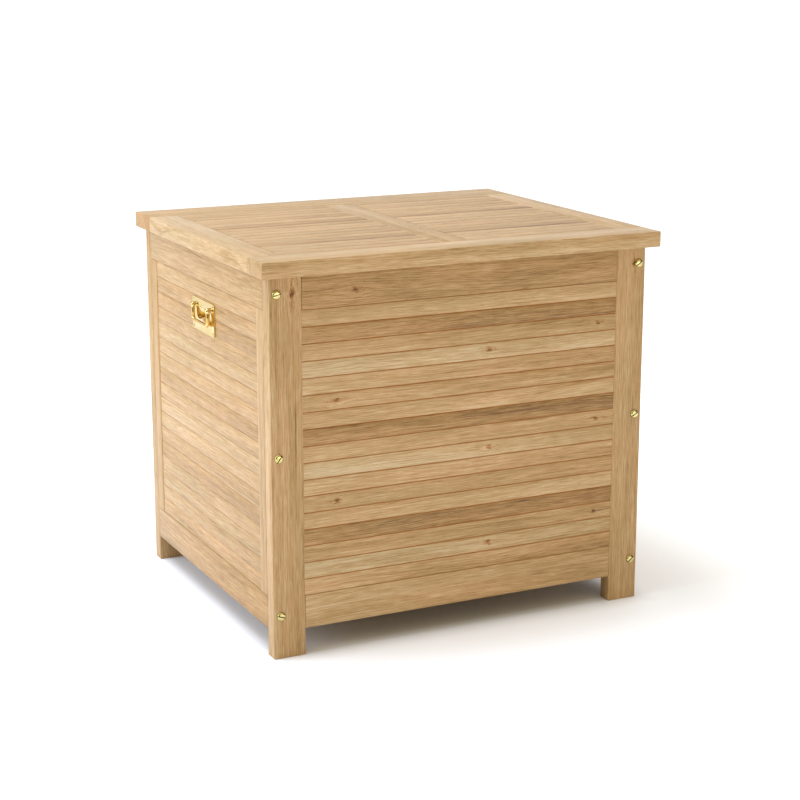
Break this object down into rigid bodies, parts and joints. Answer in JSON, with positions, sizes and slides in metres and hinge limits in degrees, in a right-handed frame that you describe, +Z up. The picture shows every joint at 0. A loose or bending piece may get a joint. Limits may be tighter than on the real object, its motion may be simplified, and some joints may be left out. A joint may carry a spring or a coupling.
{
  "type": "deck storage box",
  "caption": "Slatted teak chest with four legs, a hinged slatted lid, brass bolts and a drop handle on each side, for storing cushions outdoors.",
  "frame": {"origin": "on the ground, midway across the whole object in X and in Y", "axes": "+Z up, +X to the right seen from the front, the front faces -Y, the lid's hinges are at the back, +Y"},
  "size_m": [0.692, 0.5904, 0.625],
  "materials": {
    "teak_frame": "planed and oiled",
    "teak_slats": "planed and oiled",
    "teak_inner": "planed, unoiled",
    "brass": "polished"
  },
  "bodies": {
    "box": {"back_battens": "teak_inner", "back_bottom_rail": "teak_frame", "back_left_post": "teak_frame", "back_right_post": "teak_frame", "back_slats": "teak_slats", "back_top_rail": "teak_frame", "barrel_nuts": "brass", "floor_boards": "teak_inner", "floor_cleats": "teak_inner", "front_battens": "teak_inner", "front_bottom_rail": "teak_frame", "front_left_post": "teak_frame", "front_right_post": "teak_frame", "front_slats": "teak_slats", "front_top_rail": "teak_frame", "hinge_box_screws": "brass", "hinge_pins": "brass", "left_back_stile": "teak_frame", "left_battens": "teak_inner", "left_bottom_rail": "teak_frame", "left_front_stile": "teak_frame", "left_handle_plate": "brass", "left_handle_screws": "brass", "left_hinge_box_leaf": "brass", "left_slats": "teak_slats", "left_stay_box_bracket": "brass", "left_top_rail": "teak_frame", "panel_bolts": "brass", "right_back_stile": "teak_frame", "right_battens": "teak_inner", "right_bottom_rail": "teak_frame", "right_front_stile": "teak_frame", "right_handle_plate": "brass", "right_handle_screws": "brass", "right_hinge_box_leaf": "brass", "right_slats": "teak_slats", "right_stay_box_bracket": "brass", "right_top_rail": "teak_frame", "stay_box_screws": "brass"},
    "lid": {"hinge_lid_screws": "brass", "left_hinge_lid_leaf": "brass", "left_stay_lid_bracket": "brass", "lid_back_rail": "teak_frame", "lid_battens": "teak_inner", "lid_centre_stile": "teak_frame", "lid_front_rail": "teak_frame", "lid_left_slats": "teak_slats", "lid_left_stile": "teak_frame", "lid_right_slats": "teak_slats", "lid_right_stile": "teak_frame", "right_hinge_lid_leaf": "brass", "right_stay_lid_bracket": "brass", "stay_lid_screws": "brass"},
    "left_bail": {"left_handle_bail": "brass"},
    "left_stay_lower": {"left_stay_lower_arm": "brass"},
    "left_stay_upper": {"left_stay_upper_arm": "brass"},
    "right_bail": {"right_handle_bail": "brass"},
    "right_stay_lower": {"right_stay_lower_arm": "brass"},
    "right_stay_upper": {"right_stay_upper_arm": "brass"}
  },
  "joints": [
    {"name": "lid_hinge", "type": "hinge", "parent": "box", "child": "lid", "pos_m": [0, 0.29125, 0.6], "axis": [-1, 0, 0], "range_deg": [0, 98]},
    {"name": "left_bail_swing", "type": "hinge", "parent": "box", "child": "left_bail", "pos_m": [-0.3355, 0.00075, 0.506], "axis": [0, 1, 0], "range_deg": [0, 90]},
    {"name": "left_stay_lower_pivot", "type": "hinge", "parent": "box", "child": "left_stay_lower", "pos_m": [-0.3, 0.18525, 0.38], "axis": [-1, 0, 0], "range_deg": [0, 98]},
    {"name": "left_stay_upper_pivot", "type": "hinge", "parent": "lid", "child": "left_stay_upper", "pos_m": [-0.297, 0.17125, 0.581], "axis": [-1, 0, 0], "range_deg": [-98, 0]},
    {"name": "right_bail_swing", "type": "hinge", "parent": "box", "child": "right_bail", "pos_m": [0.3355, 0.00075, 0.506], "axis": [0, -1, 0], "range_deg": [0, 90]},
    {"name": "right_stay_lower_pivot", "type": "hinge", "parent": "box", "child": "right_stay_lower", "pos_m": [0.3, 0.18525, 0.38], "axis": [-1, 0, 0], "range_deg": [0, 98]},
    {"name": "right_stay_upper_pivot", "type": "hinge", "parent": "lid", "child": "right_stay_upper", "pos_m": [0.297, 0.17125, 0.581], "axis": [-1, 0, 0], "range_deg": [-98, 0]}
  ],
  "couplings": [
    {"joint": "left_stay_lower_pivot", "follows": "lid_hinge", "ratio": 1},
    {"joint": "left_stay_upper_pivot", "follows": "lid_hinge", "ratio": -1},
    {"joint": "right_stay_lower_pivot", "follows": "lid_hinge", "ratio": 1},
    {"joint": "right_stay_upper_pivot", "follows": "lid_hinge", "ratio": -1}
  ]
}
